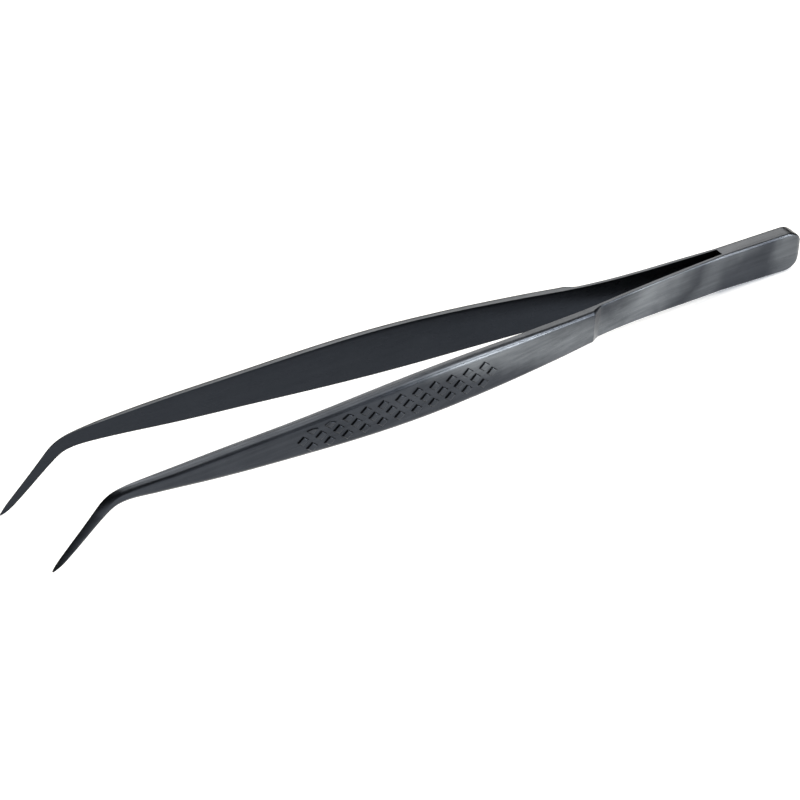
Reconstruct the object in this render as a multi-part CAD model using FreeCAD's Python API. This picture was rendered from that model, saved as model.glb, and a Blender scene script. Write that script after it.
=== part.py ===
import FreeCAD, Part
import math
import os

V = FreeCAD.Vector

# Driving dimensions in millimetres and degrees. The shape is drawn with the tail's end
# at x = 0 and the tips towards -X, then set down on its two tips and the tail's lower edge.
SPACER_HALF = 1.3          # half the thickness of the block between the two tails
SPACER_FRONT = -27.4       # where the block stops and the slot between the leaves begins
STEP_X = -70.4             # where the thin spring leaf meets the thick arm
RAMP_FOOT_X = -71.1        # where the ramp of the step is almost down on the leaf
RAMP_FOOT_T = 1.4          # thickness there
LEAF_T = 1.15              # thickness of the spring leaf and of the tail plate
LEAF_EDGE_R = 0.25         # rounding of the leaf's outer edges
STEP_EDGE_R = 1.2          # rounding of the arm's outer edges at the step
GRIP_EDGE_R = 2.0          # rounding from the grip forward
ROUNDING_GROWS = (84.0, 115.0)   # distances along the arm between which it widens
TAIL_EDGE_R = 0.8          # rounding of the tail's outer edges
TAIL_CORNER_R = 5.6        # round corners of the tail's end, seen from the side
TAIL_H = 11.9              # height of the tail at its end
STANCE_DEG = 2.411         # nose-up turn that brings tips and tail to one level

# The arm from the top of the step's ramp to the tip: distance along it, section centre x and z,
# lean of the section, height, gap from the middle plane to the inner face, thickness.
ARM = [
    (73.6, -73.6, 0.0, 0.0, 9.8, 4.86, 2.80),
    (84.0, -84.0, 0.0, 0.0, 10.8, 6.17, 2.80),
    (100.0, -100.0, 0.0, 0.0, 12.3, 7.99, 2.80),
    (120.0, -120.0, 0.0, 0.0, 13.6, 9.79, 2.80),
    (145.0, -145.0, 0.0, 0.0, 12.8, 11.33, 2.80),
    (170.0, -170.0, 0.15, 0.0, 10.2, 12.26, 2.67),
    (190.0, -190.0, 0.5, 0.0, 8.1, 12.70, 2.55),
    (206.0, -206.0, 0.88, 0.0, 5.75, 12.94, 2.35),
    (214.0, -213.9, 0.94, 2.5, 4.75, 13.02, 1.92),
    (217.7, -217.6, 0.80, 9.0, 4.45, 13.06, 1.65),
    (220.4, -220.3, 0.40, 18.4, 4.38, 13.09, 1.45),
    (222.4, -222.2, -0.22, 27.0, 4.32, 13.11, 1.36),
    (224.4, -223.95, -1.35, 36.5, 4.15, 13.14, 1.30),
    (226.5, -225.5, -2.80, 45.0, 3.81, 13.17, 1.22),
    (234.4, -231.05, -8.40, 46.0, 2.95, 13.27, 1.00),
    (239.7, -234.85, -12.15, 46.5, 2.45, 13.35, 0.90),
    (242.4, -236.80, -14.00, 48.0, 1.95, 13.40, 0.78),
    (243.7, -237.75, -14.83, 49.0, 1.40, 13.42, 0.65),
    (244.5, -238.43, -15.39, 52.0, 0.80, 13.43, 0.48),
    (245.0, -238.82, -15.68, 54.0, 0.30, 13.44, 0.30),
]

# The spring leaf from the slot to the step: x, height, gap to the inner face, edge rounding.
LEAF = [
    (SPACER_FRONT, 11.32, SPACER_HALF, TAIL_EDGE_R),
    (-33.0, 11.08, 1.50, 0.50),
    (-40.0, 10.72, 1.86, 0.25),
    (-48.0, 10.28, 2.33, 0.25),
    (-55.0, 9.95, 2.83, 0.25),
    (-62.0, 9.75, 3.45, 0.25),
    (STEP_X, 9.74, 4.46, 0.25),
]

# Grip: raised diamonds on the outer face, one middle row and a staggered row each side.
GRIP_FIRST_X = -168.3
GRIP_PITCH = 5.39
GRIP_ROW = 2.59
GRIP_Z = 0.2
GRIP_COUNT = 12
DIAMOND_HALF_X = 1.85      # half diagonals where a diamond meets the arm's surface
DIAMOND_HALF_Z = 1.50
DIAMOND_RISE = 0.4
DIAMOND_ROOT = 0.5         # depth of its foot inside the arm
DIAMOND_TAPER = 0.56       # share of its size lost per millimetre of rise
CUT_SHORT = (0.15, 0.45, 0.75)   # what is left of the top halves at the front of the upper row

# The flat ground jaw on the inside of each tip: its two ends as x, z and gap.
JAW_BACK = (-225.85, -3.15, 13.21)
JAW_FRONT = (-238.6, -16.35, 13.47)

# Spot welds: lens-thick discs half in the tail plate and half in the spacer.
WELD_X = (-19.0, -9.0)
WELD_R = 1.8
WELD_HALF_T = 0.4


def point(x, z, lean, side, out, up):
    """A point of a leaning section: 'out' from the middle plane, 'up' along the section."""
    a = math.radians(lean)
    return V(x - up * math.sin(a), side * out, z + up * math.cos(a))


def section(side, x, z, lean, height, gap, thick, radius):
    """Closed wire with a flat inner face, flat edges and two rounded outer corners."""
    r = min(radius, 0.45 * height, 0.85 * thick)
    top = 0.5 * height
    out = gap + thick
    k = r * (1 - math.sqrt(0.5))

    def at(y, up):
        return point(x, z, lean, side, y, up)

    edges = [
        Part.makeLine(at(gap, -top), at(gap, top)),
        Part.makeLine(at(gap, top), at(out - r, top)),
        Part.Arc(at(out - r, top), at(out - k, top - k), at(out, top - r)).toShape(),
        Part.makeLine(at(out, top - r), at(out, r - top)),
        Part.Arc(at(out, r - top), at(out - k, k - top), at(out - r, -top)).toShape(),
        Part.makeLine(at(out - r, -top), at(gap, -top)),
    ]
    return Part.Wire(edges)


def law(rows, columns):
    """Smooth curve whose value at a distance along the arm holds the given columns."""
    curve = Part.BSplineCurve()
    curve.interpolate(Points=[V(*[row[c] for c in columns]) for row in rows],
                      Parameters=[row[0] for row in rows])
    return curve


PATH = law(ARM, (1, 2, 3))
FORM = law(ARM, (4, 5, 6))


def edge_radius(s):
    """Rounding of the arm's outer edges at a distance along it."""
    start, end = ROUNDING_GROWS
    share = min(max((s - start) / (end - start), 0.0), 1.0)
    return STEP_EDGE_R + share * (GRIP_EDGE_R - STEP_EDGE_R)


def arm_section(side, s):
    x, z, lean = PATH.value(s)
    height, gap, thick = FORM.value(s)
    return section(side, x, z, lean, height, gap, thick, edge_radius(s))


def ramp(side):
    """The short slope between the arm's full thickness and the spring leaf."""
    top_s, top_x, top_gap = ARM[0][0], ARM[0][1], ARM[0][5]
    height, leaf_gap = LEAF[-1][1:3]
    slope = (top_gap - leaf_gap) / (STEP_X - top_x)
    foot_gap = leaf_gap + slope * (STEP_X - RAMP_FOOT_X)
    wires = [
        arm_section(side, top_s),
        section(side, RAMP_FOOT_X, 0.0, 0.0, height, foot_gap, RAMP_FOOT_T, 0.4),
        section(side, STEP_X, 0.0, 0.0, height, leaf_gap, LEAF_T, LEAF_EDGE_R),
    ]
    return Part.makeLoft(wires, True, True)


def outline(size, top_share, y):
    """Diamond around the origin, its top half shortened to the given share."""
    half_x, half_z = size * DIAMOND_HALF_X, size * DIAMOND_HALF_Z
    corners = [V(half_x, y, 0), V(0, y, top_share * half_z), V(-half_x, y, 0), V(0, y, -half_z)]
    return Part.makePolygon(corners + corners[:1])


def diamond(side, x, z, top_share=1.0):
    """One tapered diamond standing on the outer face, its foot inside the arm."""
    height, gap, thick = FORM.value(-x)
    ahead = FORM.value(-x + 1.0)
    turn = math.atan2(ahead.y + ahead.z - gap - thick, 1.0)
    boss = Part.makeLoft([outline(1 - DIAMOND_TAPER * out, top_share, side * out)
                          for out in (-DIAMOND_ROOT, DIAMOND_RISE)], True, True)
    boss.rotate(V(0, 0, 0), V(0, 0, 1), -side * math.degrees(turn))
    boss.translate(V(x, side * (gap + thick), z))
    return boss


def grip(side):
    bosses = []
    for i in range(GRIP_COUNT):
        x = GRIP_FIRST_X + GRIP_PITCH * i
        bosses.append(diamond(side, x, GRIP_Z))
        if i < GRIP_COUNT - 1:
            top_share = CUT_SHORT[i] if i < len(CUT_SHORT) else 1.0
            x += 0.5 * GRIP_PITCH
            bosses.append(diamond(side, x, GRIP_Z - GRIP_ROW))
            bosses.append(diamond(side, x, GRIP_Z + GRIP_ROW, top_share))
    return bosses


def jaw_cutter(side):
    """Block between the middle plane and the flat jaw face."""
    lean = ARM[-1][3]
    corners = [point(x, z, lean, side, gap, up)
               for (x, z, gap), up in ((JAW_BACK, -4.0), (JAW_BACK, 4.0),
                                       (JAW_FRONT, 4.0), (JAW_FRONT, -4.0))]
    plane = Part.Face(Part.makePolygon(corners + corners[:1]))
    return plane.extrude(V(0, -side * 5.0, 0))


def arm(side):
    """Thick front part: grip, taper and bent tip."""
    stations = [73.6, 78.0, 84.0, 92.0, 100.0, 108.0, 115.0, 122.0, 130.0, 138.0, 147.0,
                157.0, 168.0, 179.0, 190.0, 199.0, 206.0, 211.0]
    stations += [row[0] for row in ARM if row[0] > 212.0]
    body = Part.makeLoft([arm_section(side, s) for s in stations], True, False)
    body = body.fuse(ramp(side)).removeSplitter()
    return body.cut(jaw_cutter(side)).fuse(grip(side))


def tail_outline():
    """Side view of the tail from the spacer's front to its rounded end."""
    front = 0.5 * LEAF[0][1]
    h = 0.5 * TAIL_H
    r = TAIL_CORNER_R
    k = r * (1 - math.sqrt(0.5))
    edges = [
        Part.makeLine(V(SPACER_FRONT, 0, -front), V(-r, 0, -h)),
        Part.Arc(V(-r, 0, -h), V(-k, 0, k - h), V(0, 0, r - h)).toShape(),
        Part.makeLine(V(0, 0, r - h), V(0, 0, h - r)),
        Part.Arc(V(0, 0, h - r), V(-k, 0, h - k), V(-r, 0, h)).toShape(),
        Part.makeLine(V(-r, 0, h), V(SPACER_FRONT, 0, front)),
        Part.makeLine(V(SPACER_FRONT, 0, front), V(SPACER_FRONT, 0, -front)),
    ]
    return Part.Face(Part.Wire(edges))


def tail_plan():
    """Block whose rear end is half round seen from above, which rounds the tail's end."""
    r = SPACER_HALF + LEAF_T
    slab = Part.makeBox(-SPACER_FRONT + 10.0 - r, 2 * r, 2 * TAIL_H,
                        V(SPACER_FRONT - 10.0, -r, -TAIL_H))
    nose = Part.makeCylinder(r, 2 * TAIL_H, V(-r, 0, -TAIL_H), V(0, 0, 1))
    return slab.fuse(nose).removeSplitter()


def tail_plate(side):
    """Flat rear end of one blank, its outer edges rounded all round."""
    plate = tail_outline().extrude(V(0, side * LEAF_T, 0))
    outer = [e for e in plate.Edges
             if abs(e.CenterOfMass.y - side * LEAF_T) < 0.01
             and e.CenterOfMass.x > SPACER_FRONT + 0.01]
    plate = plate.makeFillet(TAIL_EDGE_R, outer)
    plate.translate(V(0, side * SPACER_HALF, 0))
    return plate.common(tail_plan())


def spring_leaf(side):
    """Thin springy rear part of one arm, one blank with its tail plate."""
    plate = tail_plate(side)
    front = min(plate.Faces, key=lambda face: face.CenterOfMass.x)
    wires = [front.OuterWire]
    wires += [section(side, x, 0.0, 0.0, height, gap, LEAF_T, radius)
              for x, height, gap, radius in LEAF[1:]]
    leaf = Part.makeLoft(wires, True, False)
    return leaf.fuse(plate).removeSplitter()


def spacer():
    block = tail_outline().extrude(V(0, 2 * SPACER_HALF, 0))
    block.translate(V(0, -SPACER_HALF, 0))
    return block.common(tail_plan())


def weld(side, x):
    disc = Part.makeCylinder(WELD_R, 2 * WELD_HALF_T, V(x, -WELD_HALF_T, 0), V(0, 1, 0))
    disc.translate(V(0, side * SPACER_HALF, 0))
    return disc


def set_down(shapes):
    """Turn the part onto its tips and tail, centre it and put the lowest point at z = 0."""
    for shape in shapes.values():
        shape.rotate(V(0, 0, 0), V(0, 1, 0), STANCE_DEG)
    box = Part.makeCompound(list(shapes.values())).optimalBoundingBox(False)
    shift = V(-0.5 * (box.XMin + box.XMax), -0.5 * (box.YMin + box.YMax), -box.ZMin)
    for shape in shapes.values():
        shape.translate(shift)


def build():
    welds = Part.makeCompound([weld(side, x) for side in (-1, 1) for x in WELD_X])
    shapes = {
        "near_arm": arm(-1),
        "far_arm": arm(1),
        "near_spring_leaf": spring_leaf(-1).cut(welds),
        "far_spring_leaf": spring_leaf(1).cut(welds),
        "tail_spacer": spacer().cut(welds),
        "spot_welds": welds,
    }
    set_down(shapes)
    return shapes


os.makedirs("parts", exist_ok=True)
for node, shape in build().items():
    box = shape.optimalBoundingBox(False)
    print(node, shape.isValid(), len(shape.Solids), "volume", round(shape.Volume, 1),
          "x", round(box.XMin, 2), round(box.XMax, 2), "y", round(box.YMin, 2),
          round(box.YMax, 2), "z", round(box.ZMin, 2), round(box.ZMax, 2))
    shape.exportStep("parts/%s.step" % node)
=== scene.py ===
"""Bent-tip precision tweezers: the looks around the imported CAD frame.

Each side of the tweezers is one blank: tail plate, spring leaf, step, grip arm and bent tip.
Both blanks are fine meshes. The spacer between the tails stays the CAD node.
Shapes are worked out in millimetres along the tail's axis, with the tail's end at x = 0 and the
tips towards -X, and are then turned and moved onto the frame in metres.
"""

import math

import bmesh
import bpy
import numpy as np
from mathutils import Matrix, Vector


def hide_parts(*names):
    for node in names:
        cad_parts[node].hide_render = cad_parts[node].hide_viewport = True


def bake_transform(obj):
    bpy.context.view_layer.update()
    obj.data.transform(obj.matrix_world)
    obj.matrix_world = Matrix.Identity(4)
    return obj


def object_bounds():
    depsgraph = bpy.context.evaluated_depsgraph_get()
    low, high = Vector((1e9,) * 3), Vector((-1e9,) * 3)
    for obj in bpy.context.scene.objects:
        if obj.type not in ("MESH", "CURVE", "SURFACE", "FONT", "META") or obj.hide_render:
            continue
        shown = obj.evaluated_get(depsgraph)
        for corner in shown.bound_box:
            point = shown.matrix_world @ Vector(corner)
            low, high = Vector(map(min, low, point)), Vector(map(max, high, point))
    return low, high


MM = 0.001
SIDES = {"near": -1, "far": 1}   # which way each blank lies from the middle plane, along Y
STANCE = math.radians(2.411)     # nose-up turn of the tail's axis when the part stands

# Tail plate, leaf and step.
SPACER_HALF = 1.3                # half the gap between the tail plates
SLOT_X = -27.4                   # front of the spacer, where the slot begins
STEP_X = -70.4                   # end of the thin leaf
RAMP_TOP_X = -73.6               # where the step's ramp reaches the arm's full thickness
ARM_X = -76.0                    # from here on the sections follow the arm's own curve
RAMP_POWER = 1.2                 # hollow shape of the ground ramp
LEAF_T = 1.15                    # thickness of leaf and tail plate
TAIL_H = 11.9                    # height of the tail at its end
TAIL_CORNER_R = 5.6              # round corners of the tail seen from the side
TAIL_BLEND = 0.35                # softness where the half round end meets the other faces

# Rounding of the long edges, from the tail forward: x, radius of the outer edges, inner bevel.
EDGES = [(0.0, 0.80, 0.02), (SLOT_X, 0.80, 0.03), (-33.0, 0.55, 0.04), (-40.0, 0.35, 0.04),
         (STEP_X, 0.35, 0.04), (RAMP_TOP_X, 1.20, 0.05), (-84.0, 1.20, 0.05), (-115.0, 2.00, 0.05),
         (-206.0, 2.00, 0.05), (-239.0, 0.70, 0.04)]
ROUND_OF_HEIGHT = 0.45           # largest outer radius, as a share of the section's height
ROUND_OF_THICKNESS = 0.94        # and of its thickness
BLADE = (-211.0, -226.0)         # over this run the outer rounding widens to the bent blade's
BLADE_TOP = 0.56                 # share of the blade's height that the upper rounding takes
BLADE_BOTTOM = 0.22              # and the lower one
BLADE_FLAT = 0.85                # how far both are ground flat there instead of round

# Leaf sections from the tail forward: x, height, gap from the middle plane to the inner face.
LEAF = [(-TAIL_CORNER_R, TAIL_H, SPACER_HALF), (-15.0, 11.66, SPACER_HALF),
        (SLOT_X, 11.32, SPACER_HALF), (-33.0, 11.08, 1.50), (-40.0, 10.72, 1.86),
        (-48.0, 10.28, 2.33), (-55.0, 9.95, 2.83), (-62.0, 9.75, 3.45), (STEP_X, 9.74, 4.46),
        (ARM_X, 9.99, 5.16)]

# Arm sections: distance along the arm, section centre x and z, lean in degrees, height, gap, thickness.
ARM = [
    (73.6, -73.6, 0.0, 0.0, 9.8, 4.86, 2.80),
    (84.0, -84.0, 0.0, 0.0, 10.8, 6.17, 2.80),
    (100.0, -100.0, 0.0, 0.0, 12.3, 7.99, 2.80),
    (120.0, -120.0, 0.0, 0.0, 13.6, 9.79, 2.80),
    (145.0, -145.0, 0.0, 0.0, 12.8, 11.33, 2.80),
    (170.0, -170.0, 0.15, 0.0, 10.2, 12.26, 2.67),
    (190.0, -190.0, 0.5, 0.0, 8.1, 12.70, 2.55),
    (206.0, -206.0, 0.88, 0.0, 5.75, 12.94, 2.35),
    (214.0, -213.9, 0.94, 2.5, 4.75, 13.02, 1.92),
    (217.7, -217.6, 0.80, 9.0, 4.45, 13.06, 1.65),
    (220.4, -220.3, 0.40, 18.4, 4.38, 13.09, 1.45),
    (222.4, -222.2, -0.22, 27.0, 4.32, 13.11, 1.36),
    (224.4, -223.95, -1.35, 36.5, 4.15, 13.14, 1.30),
    (226.5, -225.5, -2.80, 45.0, 3.81, 13.17, 1.22),
    (234.4, -231.05, -8.40, 46.0, 2.95, 13.27, 1.00),
    (239.7, -234.85, -12.15, 46.5, 2.45, 13.35, 0.90),
    (242.4, -236.80, -14.00, 48.0, 1.95, 13.40, 0.78),
    (243.7, -237.75, -14.83, 49.0, 1.40, 13.42, 0.65),
    (244.5, -238.43, -15.39, 52.0, 0.80, 13.43, 0.48),
    (245.0, -238.82, -15.68, 54.0, 0.30, 13.44, 0.30),
]

# Grip: raised diamonds in three staggered rows on the outer faces.
GRIP_FIRST_X = -168.3
GRIP_PITCH = 5.39
GRIP_ROW = 2.59
GRIP_Z = 0.2
GRIP_COUNT = 12
DIAMOND_HALF_X = 1.85
DIAMOND_HALF_Z = 1.50
DIAMOND_PROFILE = [(-0.5, 1.28), (0.28, 0.845), (0.36, 0.755), (0.395, 0.66)]   # rise, size
CUT_SHORT = (0.15, 0.45, 0.75)   # what is left of the top halves at the front of the upper row

# Coating: colours, and where a painted sheen lightens the outer faces, standing in for light reflected
# there: x, reach to each side, amount, lean along x with height.
COAT_DARK = (0.024, 0.0275, 0.034, 1)
COAT_LIGHT = (0.048, 0.0535, 0.064, 1)
# Painted shade: the darker colour of the inner faces stands in for the shade between the arms.
COAT_INNER_SHADE = (0.021, 0.0245, 0.031, 1)
# Painted sheen: the lighter colour that stands in for light reflected in the outer faces.
COAT_SHEEN = (0.160, 0.174, 0.190, 1)
SHEEN_PLACES = [(-87.0, 27.0, 0.85, -3.5), (-56.0, 19.0, 1.05, 1.0), (-31.0, 11.0, 0.42, 1.0),
        (-5.0, 9.0, 0.5, 0.0)]
SHEEN_RAGGED = 8.0                # how far the edges of the painted sheen wander, mm
SHEEN_CORE = 0.1                  # share of the reach that gets the full painted sheen
INNER_SHADE_AMOUNT = 0.8                # how strongly the painted shade colour shows on the inner faces

# Noises, in features per metre along the length and the two ways across it.
BRUSHING = (60.0, 4000.0, 4000.0)
STREAKS = (25.0, 700.0, 700.0)
CLOUDS = (90.0, 90.0, 90.0)
PAPER_GRAIN = (400.0, 400.0, 400.0)
NOISE_RANGE = (0.3, 0.7)         # the values that most of a noise lies between
ROUGHNESS = (0.26, 0.36)
BRUSHING_DEPTH = 0.00002
BRUSHING_STRENGTH = 0.25

# Mesh fineness: steps round an edge and across a face, and the angle above which an edge is sharp.
ARC_STEPS = 9
FACE_STEPS = 12
SHARP_DEG = 25.0

# Distances along the arm where the sections lie closer together: the bend, the blade and its point.
BEND_AT = 211.0
BLADE_AT = 228.0
POINT_AT = 241.0

# Light colours, and softboxes in degrees and metres: name, azimuth, elevation, distance, width,
# height, radiance, colour.
WARM = (1.0, 0.95, 0.86)
NEUTRAL = (1.0, 1.0, 1.0)
COOL = (0.92, 0.97, 1.05)
SOFTBOXES = [
    ("overhead", 145.0, 74.0, 1.3, 1.0, 0.9, 5.5, WARM),
    ("back_right", 145.0, 34.0, 1.0, 0.6, 0.4, 5.0, WARM),
    ("front_high", 45.0, 55.0, 1.1, 0.8, 0.5, 4.0, WARM),
    ("key", 58.0, 36.0, 0.9, 0.15, 0.2, 24.0, NEUTRAL),
    ("right_low", 46.0, 13.0, 0.8, 0.22, 0.2, 16.0, NEUTRAL),
]
WORLD_STRENGTH = 0.04

# Floor, in metres.
FLOOR_HALF = 1.6
FLOOR_DROP = 0.0003              # just below the tweezers
FLOOR_SHADES = ((0.86, 0.86, 0.86, 1), (0.90, 0.90, 0.90, 1))
FLOOR_GLOW = 0.40

# Camera: its direction from the part in degrees, and lengths in millimetres, in the tail's frame.
CAMERA_AZIMUTH = -34.887
CAMERA_ELEVATION = 34.114
CAMERA_ROLL = 3.336
CAMERA_DISTANCE = 1003.0
CAMERA_AIM = (-119.0, 0.0, 0.0)
CAMERA_SLIDE = (8.974, 10.251)
CAMERA_LENS = 174.4


# ---------------------------------------------------------------- shape laws

def spline(rows, s):
    """Natural cubic spline through rows: every column after the first, where the first is s."""
    rows = np.array(rows, float)
    if rows[0, 0] > rows[-1, 0]:
        rows = rows[::-1]
    t, y = rows[:, 0], rows[:, 1:]
    h = np.diff(t)[:, None]
    n = len(t)
    system = np.eye(n)
    right = np.zeros_like(y)
    for i in range(1, n - 1):
        system[i, i - 1:i + 2] = h[i - 1, 0], 2 * (h[i - 1, 0] + h[i, 0]), h[i, 0]
        right[i] = 6 * ((y[i + 1] - y[i]) / h[i] - (y[i] - y[i - 1]) / h[i - 1])
    bend = np.linalg.solve(system, right)
    s = np.atleast_1d(np.asarray(s, float))
    i = np.clip(np.searchsorted(t, s) - 1, 0, n - 2)
    a = (t[i + 1] - s)[:, None]
    b = (s - t[i])[:, None]
    w = h[i]
    return ((bend[i] * a ** 3 + bend[i + 1] * b ** 3) / (6 * w)
            + (y[i] / w - bend[i] * w / 6) * a + (y[i + 1] / w - bend[i + 1] * w / 6) * b)


def straight(rows, x):
    """Straight-line interpolation of every column of rows after the first."""
    rows = np.array(rows, float)
    order = np.argsort(rows[:, 0])
    return [np.interp(x, rows[order, 0], rows[order, c]) for c in range(1, rows.shape[1])]


def stations():
    """Places along the blank, closer together where the shape turns.

    The tail and the leaf are given by x, and the arm by the distance along it.
    """
    corner = [TAIL_CORNER_R * (math.sin(a) - 1) for a in np.linspace(math.pi / 2, 0, 13)]
    leaf = list(np.arange(-6.6, STEP_X, -1.1)) + [STEP_X]
    step = list(np.linspace(STEP_X, RAMP_TOP_X, 15))[1:] + [-74.1, -74.7, -75.4]
    arm = list(np.arange(-ARM_X, BEND_AT, 1.0))
    bend = list(np.arange(BEND_AT, BLADE_AT, 0.4))
    blade = list(np.arange(BLADE_AT, POINT_AT, 0.8))
    point = list(np.linspace(POINT_AT, ARM[-1][0], 12))
    return corner, leaf + step, arm + bend + blade + point


def corner_height(x):
    """Height of the tail at x inside its rounded end."""
    run = TAIL_CORNER_R + min(x, 0.0)
    return TAIL_H - 2 * (TAIL_CORNER_R - math.sqrt(max(TAIL_CORNER_R ** 2 - run ** 2, 0.0)))


def sections():
    """Rows of x, z, lean, height, gap and thickness for all stations, tail to tip."""
    corner, leaf, arm = stations()
    rows = [(x, 0.0, 0.0, corner_height(x), SPACER_HALF, LEAF_T) for x in corner]
    full_thick = spline(ARM, -ARM_X)[0, 5]
    for x, (height, gap) in zip(leaf, spline(LEAF, leaf)):
        if x > SLOT_X:
            height, gap = straight(LEAF[:3], x)
        u = np.clip((RAMP_TOP_X - x) / (RAMP_TOP_X - STEP_X), 0.0, 1.0)
        thick = LEAF_T + (full_thick - LEAF_T) * (1 - u) ** RAMP_POWER
        rows.append((x, 0.0, 0.0, height, gap, thick))
    rows += [tuple(row) for row in spline(ARM, arm)]
    return np.array(rows)


def outline_normals(points, outward):
    """Unit normals of an outline in the x-z plane, on the side that outward points to."""
    run = np.gradient(points, axis=0)
    normal = np.stack([-run[:, 1], run[:, 0]], axis=1)
    normal /= np.linalg.norm(normal, axis=1)[:, None]
    flip = np.sign(np.sum(normal * outward, axis=1))
    return normal * flip[:, None]


def edge_profile(radius, drop, flat, bevel, thick):
    """Edge of the blank from the inner face to the outer face: (inset, distance outward).

    The outer rounding is a quarter ellipse, radius wide and drop high; flat turns it into a slope.
    """
    points = [(bevel, 0.0), (0.4 * bevel, 0.15 * bevel), (0.0, bevel)]
    points += [(0.0, bevel + f * (thick - radius - bevel)) for f in (0.33, 0.67)]
    for t in np.linspace(0.0, 1.0, ARC_STEPS + 1):
        a = 0.5 * math.pi * t
        inset = drop * (flat * t + (1 - flat) * (1 - math.cos(a)))
        out = radius * (flat * t + (1 - flat) * math.sin(a))
        points.append((inset, thick - radius + out))
    return points


# ---------------------------------------------------------------- blank mesh

def blank_points():
    """The edge profiles of all stations, top and then bottom, each an array of (x, out, z)."""
    rows = sections()
    x, z, lean, height, gap, thick = rows.T
    lean = np.radians(lean)
    up = np.stack([-np.sin(lean), np.cos(lean)], axis=1)
    centre = np.stack([x, z], axis=1)
    half = 0.5 * height[:, None]
    outer_r, bevel = straight(EDGES, x)
    outer_r = np.minimum(outer_r, np.minimum(ROUND_OF_HEIGHT * height, ROUND_OF_THICKNESS * thick))
    widening = np.clip((BLADE[0] - x) / (BLADE[0] - BLADE[1]), 0.0, 1.0)
    sides = []
    for sign, share in ((1, BLADE_TOP), (-1, BLADE_BOTTOM)):
        drop = np.maximum(outer_r, widening * share * height)
        rim = centre + sign * half * up
        normal = outline_normals(rim, sign * up)
        ring = []
        for k in range(len(rows)):
            profile = edge_profile(outer_r[k], drop[k], BLADE_FLAT * widening[k], bevel[k], thick[k])
            ring.append([(rim[k, 0] - inset * normal[k, 0], gap[k] + out,
                          rim[k, 1] - inset * normal[k, 1]) for inset, out in profile])
        sides.append(round_end(np.array(ring)))
    return sides


def round_end(points):
    """Pull the rear end in to a half circle seen from above, softly."""
    radius = SPACER_HALF + LEAF_T
    limit = np.sqrt(radius ** 2 - np.minimum(points[..., 1], radius) ** 2) - radius
    points[..., 0] = -TAIL_BLEND * np.logaddexp(-points[..., 0] / TAIL_BLEND, -limit / TAIL_BLEND)
    return points


def blank_mesh(name, side):
    """Closed shell of one blank, before the grip is added."""
    top, bottom = blank_points()
    count, layers = top.shape[:2]
    bm = bmesh.new()

    def add(point):
        return bm.verts.new((point[0], side * point[1], point[2]))

    rings = []
    for k in range(count):
        upper = [add(p) for p in top[k]]
        lower = [add(p) for p in bottom[k]]
        outer = [add(top[k, -1] + (bottom[k, -1] - top[k, -1]) * i / FACE_STEPS)
                 for i in range(1, FACE_STEPS)]
        inner = [add(bottom[k, 0] + (top[k, 0] - bottom[k, 0]) * i / FACE_STEPS)
                 for i in range(1, FACE_STEPS)]
        rings.append(upper + outer + lower[::-1] + inner)
    for a, b in zip(rings, rings[1:]):
        for i in range(len(a)):
            j = (i + 1) % len(a)
            bm.faces.new((a[i], a[j], b[j], b[i]))
    for ring in (rings[0], rings[-1]):
        close_end(bm, ring, layers)
    bmesh.ops.recalc_face_normals(bm, faces=bm.faces[:])
    mesh = bpy.data.meshes.new(name)
    bm.to_mesh(mesh)
    bm.free()
    return mesh


def close_end(bm, ring, layers):
    """Strips across an end, from the upper edge profile to the lower one."""
    upper = ring[:layers]
    outer = ring[layers - 1:layers + FACE_STEPS]
    lower = ring[layers + FACE_STEPS - 1:2 * layers + FACE_STEPS - 1][::-1]
    inner = [ring[0]] + ring[:2 * layers + FACE_STEPS - 3:-1]
    grid = [inner]
    for j in range(1, layers - 1):
        line = [upper[j]]
        for i in range(1, FACE_STEPS):
            line.append(bm.verts.new(upper[j].co.lerp(lower[j].co, i / FACE_STEPS)))
        grid.append(line + [lower[j]])
    grid.append(outer)
    for a, b in zip(grid, grid[1:]):
        for i in range(FACE_STEPS):
            bm.faces.new((a[i], a[i + 1], b[i + 1], b[i]))


def diamond(bm, side, x, z, top_share=1.0):
    """One diamond standing on the outer face, its foot inside the arm and its rim rounded."""
    out, out_ahead = [row[4] + row[5] for row in spline(ARM, [-x, -x + 1.0])]
    turn = math.atan2(out_ahead - out, 1.0)
    place = (Matrix.Translation((x, side * out, z))
             @ Matrix.Rotation(-side * turn, 4, "Z"))
    corners = [(DIAMOND_HALF_X, 0), (0, top_share * DIAMOND_HALF_Z), (-DIAMOND_HALF_X, 0),
               (0, -DIAMOND_HALF_Z)]
    loops = [[bm.verts.new(place @ Vector((size * cx, side * rise, size * cz)))
              for cx, cz in corners] for rise, size in DIAMOND_PROFILE]
    bm.faces.new(loops[0])
    bm.faces.new(loops[-1])
    for a, b in zip(loops, loops[1:]):
        for i in range(4):
            j = (i + 1) % 4
            bm.faces.new((a[i], a[j], b[j], b[i]))


def grip_mesh(side):
    """All the diamonds of one arm."""
    bm = bmesh.new()
    for i in range(GRIP_COUNT):
        x = GRIP_FIRST_X + GRIP_PITCH * i
        diamond(bm, side, x, GRIP_Z)
        if i < GRIP_COUNT - 1:
            top_share = CUT_SHORT[i] if i < len(CUT_SHORT) else 1.0
            x += 0.5 * GRIP_PITCH
            diamond(bm, side, x, GRIP_Z - GRIP_ROW)
            diamond(bm, side, x, GRIP_Z + GRIP_ROW, top_share)
    bmesh.ops.recalc_face_normals(bm, faces=bm.faces[:])
    mesh = bpy.data.meshes.new("grip")
    bm.to_mesh(mesh)
    bm.free()
    return mesh


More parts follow.
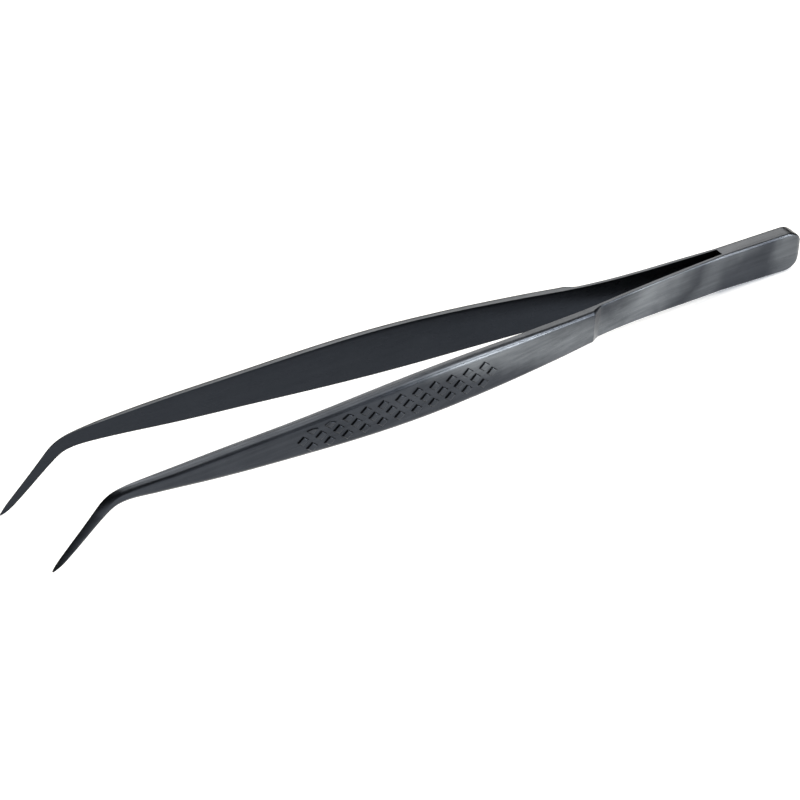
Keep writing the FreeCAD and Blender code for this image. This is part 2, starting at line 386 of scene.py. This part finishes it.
def add_grip(obj, side):
    """Join the diamonds to the blank and keep the result as the object's mesh."""
    grip = bpy.data.objects.new("grip", grip_mesh(side))
    bpy.context.collection.objects.link(grip)
    join = obj.modifiers.new("grip", "BOOLEAN")
    join.object = grip
    join.operation = "UNION"
    join.solver = "EXACT"
    bpy.context.view_layer.update()
    joined = obj.evaluated_get(bpy.context.evaluated_depsgraph_get())
    result = bpy.data.meshes.new_from_object(joined)
    obj.modifiers.clear()
    obj.data = result
    bpy.data.objects.remove(grip)


def blank(name, side, placing, material):
    """One side of the tweezers as one mesh; the real side bends along its leaf, between the tail and
    its jaw body.
    """
    obj = bpy.data.objects.new(f"{name}_blank", blank_mesh(f"{name}_blank", side))
    bpy.context.collection.objects.link(obj)
    add_grip(obj, side)
    obj.data.transform(placing)
    for face in obj.data.polygons:
        face.use_smooth = True
    obj.data.set_sharp_from_angle(angle=math.radians(SHARP_DEG))
    obj.data.materials.clear()
    obj.data.materials.append(material)
    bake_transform(obj)
    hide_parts(f"{name}_arm", f"{name}_spring_leaf")


# ---------------------------------------------------------------- materials

def nodes_of(material):
    """The material's node tree and its shader."""
    material.use_nodes = True
    tree = material.node_tree
    return tree, tree.nodes["Principled BSDF"]


def noise(tree, scale, detail=3.0, rough=0.5):
    """Noise over the object's coordinates, each multiplied by its scale."""
    coords = tree.nodes.new("ShaderNodeTexCoord")
    mapping = tree.nodes.new("ShaderNodeMapping")
    mapping.inputs["Scale"].default_value = scale
    tree.links.new(coords.outputs["Object"], mapping.inputs["Vector"])
    node = tree.nodes.new("ShaderNodeTexNoise")
    node.inputs["Scale"].default_value = 1.0
    node.inputs["Detail"].default_value = detail
    node.inputs["Roughness"].default_value = rough
    tree.links.new(mapping.outputs["Vector"], node.inputs["Vector"])
    return node.outputs["Fac"]


def ramp(tree, value, low, high):
    """Stretches a noise's NOISE_RANGE to low..high."""
    node = tree.nodes.new("ShaderNodeMapRange")
    node.inputs["From Min"].default_value = NOISE_RANGE[0]
    node.inputs["From Max"].default_value = NOISE_RANGE[1]
    node.inputs["To Min"].default_value = low
    node.inputs["To Max"].default_value = high
    tree.links.new(value, node.inputs["Value"])
    return node.outputs["Result"]


def math_node(tree, operation, first, second=0.0):
    """Result of the operation; first and second are sockets or numbers."""
    node = tree.nodes.new("ShaderNodeMath")
    node.operation = operation
    for socket, value in zip(node.inputs, (first, second)):
        if isinstance(value, float):
            socket.default_value = value
        else:
            tree.links.new(value, socket)
    return node.outputs["Value"]


def between(tree, value, start, end, low=0.0, high=1.0):
    """Soft step from low at start to high at end."""
    node = tree.nodes.new("ShaderNodeMapRange")
    node.interpolation_type = "SMOOTHSTEP"
    node.inputs["From Min"].default_value = start
    node.inputs["From Max"].default_value = end
    node.inputs["To Min"].default_value = low
    node.inputs["To Max"].default_value = high
    tree.links.new(value, node.inputs["Value"])
    return node.outputs["Result"]


def split(tree, vector):
    """The X, Y and Z of a vector, by name."""
    node = tree.nodes.new("ShaderNodeSeparateXYZ")
    tree.links.new(vector, node.inputs["Vector"])
    return node.outputs


def blend(tree, factor, first, second):
    """Colour mix; first is a socket or a colour, second a colour."""
    node = tree.nodes.new("ShaderNodeMix")
    node.data_type = "RGBA"
    if isinstance(first, tuple):
        node.inputs["A"].default_value = first
    else:
        tree.links.new(first, node.inputs["A"])
    node.inputs["B"].default_value = second
    tree.links.new(factor, node.inputs["Factor"])
    return node.outputs["Result"]


def sheen_places(tree, x, z, placing):
    """How strong the painted sheen is at x and z: the strongest of the listed places there."""
    total = None
    for centre, reach, amount, lean in SHEEN_PLACES:
        middle = placing @ Vector((centre, 0, 0))
        shift = math_node(tree, "MULTIPLY", math_node(tree, "SUBTRACT", z, middle.z), lean)
        away = math_node(tree, "SUBTRACT", math_node(tree, "SUBTRACT", x, middle.x), shift)
        away = math_node(tree, "ABSOLUTE", away)
        patch = between(tree, away, reach * MM, SHEEN_CORE * reach * MM, 0.0, amount)
        total = patch if total is None else math_node(tree, "MAXIMUM", total, patch)
    return total


def coated_steel(placing):
    """Dark blue-grey coating over lengthwise brushed steel, with a painted sheen on the outer faces for
    light reflected there and painted shade on the inner faces.
    """
    material = bpy.data.materials.new("coated_steel")
    tree, shader = nodes_of(material)
    brushing = noise(tree, BRUSHING, 4.0, 0.6)
    streaks = noise(tree, STREAKS, 4.0, 0.6)
    clouds = noise(tree, CLOUDS)

    coords = tree.nodes.new("ShaderNodeTexCoord")
    place = split(tree, coords.outputs["Object"])
    normal = split(tree, coords.outputs["Normal"])
    facing = math_node(tree, "MULTIPLY", normal["Y"], math_node(tree, "SIGN", place["Y"]))
    outer = between(tree, facing, 0.5, 0.95)
    inner = between(tree, facing, -0.5, -0.95)
    wander = ramp(tree, clouds, -0.5 * SHEEN_RAGGED * MM, 0.5 * SHEEN_RAGGED * MM)
    along = math_node(tree, "ADD", place["X"], wander)
    # Painted sheen on the outer faces, strongest at the listed places and streaked.
    painted_sheen = math_node(tree, "MULTIPLY", sheen_places(tree, along, place["Z"], placing),
                       ramp(tree, streaks, 0.5, 1.0))

    mottle = math_node(tree, "MULTIPLY", math_node(tree, "ADD", clouds, streaks), 0.5)
    colour = blend(tree, ramp(tree, mottle, 0.0, 1.0), COAT_DARK, COAT_LIGHT)
    colour = blend(tree, math_node(tree, "MULTIPLY", painted_sheen, outer), colour, COAT_SHEEN)
    # Painted shade on the inner faces.
    colour = blend(tree, math_node(tree, "MULTIPLY", inner, INNER_SHADE_AMOUNT), colour, COAT_INNER_SHADE)
    tree.links.new(colour, shader.inputs["Base Color"])

    tree.links.new(ramp(tree, brushing, *ROUGHNESS), shader.inputs["Roughness"])
    shader.inputs["Metallic"].default_value = 1.0

    bump = tree.nodes.new("ShaderNodeBump")
    bump.inputs["Strength"].default_value = BRUSHING_STRENGTH
    bump.inputs["Distance"].default_value = BRUSHING_DEPTH
    tree.links.new(brushing, bump.inputs["Height"])
    tree.links.new(bump.outputs["Normal"], shader.inputs["Normal"])
    return material


def floor_white():
    """Pale paper that glows a little, so that it stays white to the edge of the picture."""
    material = bpy.data.materials.new("floor_white")
    tree, shader = nodes_of(material)
    grain = noise(tree, PAPER_GRAIN)
    shade = blend(tree, grain, *FLOOR_SHADES)
    tree.links.new(shade, shader.inputs["Base Color"])
    shader.inputs["Roughness"].default_value = 0.9
    shader.inputs["Emission Color"].default_value = (*COOL, 1)
    shader.inputs["Emission Strength"].default_value = FLOOR_GLOW
    return material


# ---------------------------------------------------------------- studio

def floor():
    """Square sheet under the part."""
    mesh = bpy.data.meshes.new("floor")
    corners = [(FLOOR_HALF * x, FLOOR_HALF * y, 0) for x, y in ((-1, -1), (1, -1), (1, 1), (-1, 1))]
    mesh.from_pydata(corners, [], [(0, 1, 2, 3)])
    obj = bpy.data.objects.new("floor", mesh)
    obj.location.z = -FLOOR_DROP
    bpy.context.collection.objects.link(obj)
    mesh.materials.append(floor_white())


def softbox(name, azimuth, elevation, distance, width, height, radiance, colour):
    """Area light aimed at the part. Azimuth 0 stands in front (-Y) and 90 on the right (+X)."""
    a, e = math.radians(azimuth), math.radians(elevation)
    place = distance * Vector((math.sin(a) * math.cos(e), -math.cos(a) * math.cos(e), math.sin(e)))
    light = bpy.data.lights.new(name, "AREA")
    light.shape = "RECTANGLE"
    light.size = width
    light.size_y = height
    light.energy = math.pi * radiance * width * height
    light.color = colour
    obj = bpy.data.objects.new(name, light)
    obj.location = place
    obj.rotation_euler = place.to_track_quat("Z", "Y").to_euler()
    obj.visible_camera = False
    bpy.context.collection.objects.link(obj)


def lights():
    """Dim even surroundings and the softboxes."""
    world = bpy.data.worlds.new("studio")
    bpy.context.scene.world = world
    world.use_nodes = True
    background = world.node_tree.nodes["Background"]
    background.inputs["Color"].default_value = (1.0, 1.0, 1.0, 1)
    background.inputs["Strength"].default_value = WORLD_STRENGTH
    for box in SOFTBOXES:
        softbox(*box)


def camera(placing):
    """Camera set in the tail's frame, turned towards the part's middle and slid across the view."""
    azimuth = math.radians(CAMERA_AZIMUTH)
    elevation = math.radians(CAMERA_ELEVATION)
    roll = math.radians(CAMERA_ROLL)
    back = Vector((math.sin(azimuth) * math.cos(elevation),
                   -math.cos(azimuth) * math.cos(elevation), math.sin(elevation)))
    right = Vector((math.cos(azimuth), math.sin(azimuth), 0.0))
    up = back.cross(right)
    axis_x = math.cos(roll) * right + math.sin(roll) * up
    axis_y = math.cos(roll) * up - math.sin(roll) * right
    slide = CAMERA_SLIDE[0] * axis_x + CAMERA_SLIDE[1] * axis_y
    eye = Vector(CAMERA_AIM) - slide + CAMERA_DISTANCE * back

    data = bpy.data.cameras.new("camera")
    data.lens = CAMERA_LENS
    data.sensor_width = 36.0
    data.clip_start = 0.01
    data.clip_end = 20.0
    obj = bpy.data.objects.new("camera", data)
    turn = Matrix((axis_x, axis_y, back)).transposed()
    obj.rotation_mode = "QUATERNION"
    obj.rotation_quaternion = (placing.to_3x3().normalized() @ turn).to_quaternion()
    obj.location = placing @ eye
    bpy.context.collection.objects.link(obj)
    bpy.context.scene.camera = obj


def placing_on(bounds):
    """Matrix from the tail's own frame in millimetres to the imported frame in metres."""
    turn = Matrix.Rotation(STANCE, 4, "Y") @ Matrix.Scale(MM, 4)
    top, bottom = blank_points()
    outline = [turn @ Vector((x, 0, z)) for ring in (top, bottom) for x, z in ring[:, 2, (0, 2)]]
    front = min(p.x for p in outline)
    low = min(p.z for p in outline)
    return Matrix.Translation((bounds[0].x - front, 0, bounds[0].z - low)) @ turn


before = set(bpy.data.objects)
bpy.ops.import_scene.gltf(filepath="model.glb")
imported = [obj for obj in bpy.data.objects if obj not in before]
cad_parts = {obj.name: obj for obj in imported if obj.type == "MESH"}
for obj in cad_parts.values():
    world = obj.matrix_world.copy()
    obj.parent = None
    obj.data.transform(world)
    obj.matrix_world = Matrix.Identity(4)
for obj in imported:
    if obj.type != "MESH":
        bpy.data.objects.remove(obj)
cad_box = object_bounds()
placing = placing_on(cad_box)
steel = coated_steel(placing)
for side_name, side_sign in SIDES.items():
    blank(side_name, side_sign, placing, steel)
for node in ("tail_spacer", "spot_welds"):
    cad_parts[node].data.materials.clear()
    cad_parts[node].data.materials.append(steel)
floor()
lights()
camera(placing)
bpy.context.scene.view_settings.view_transform = "Standard"
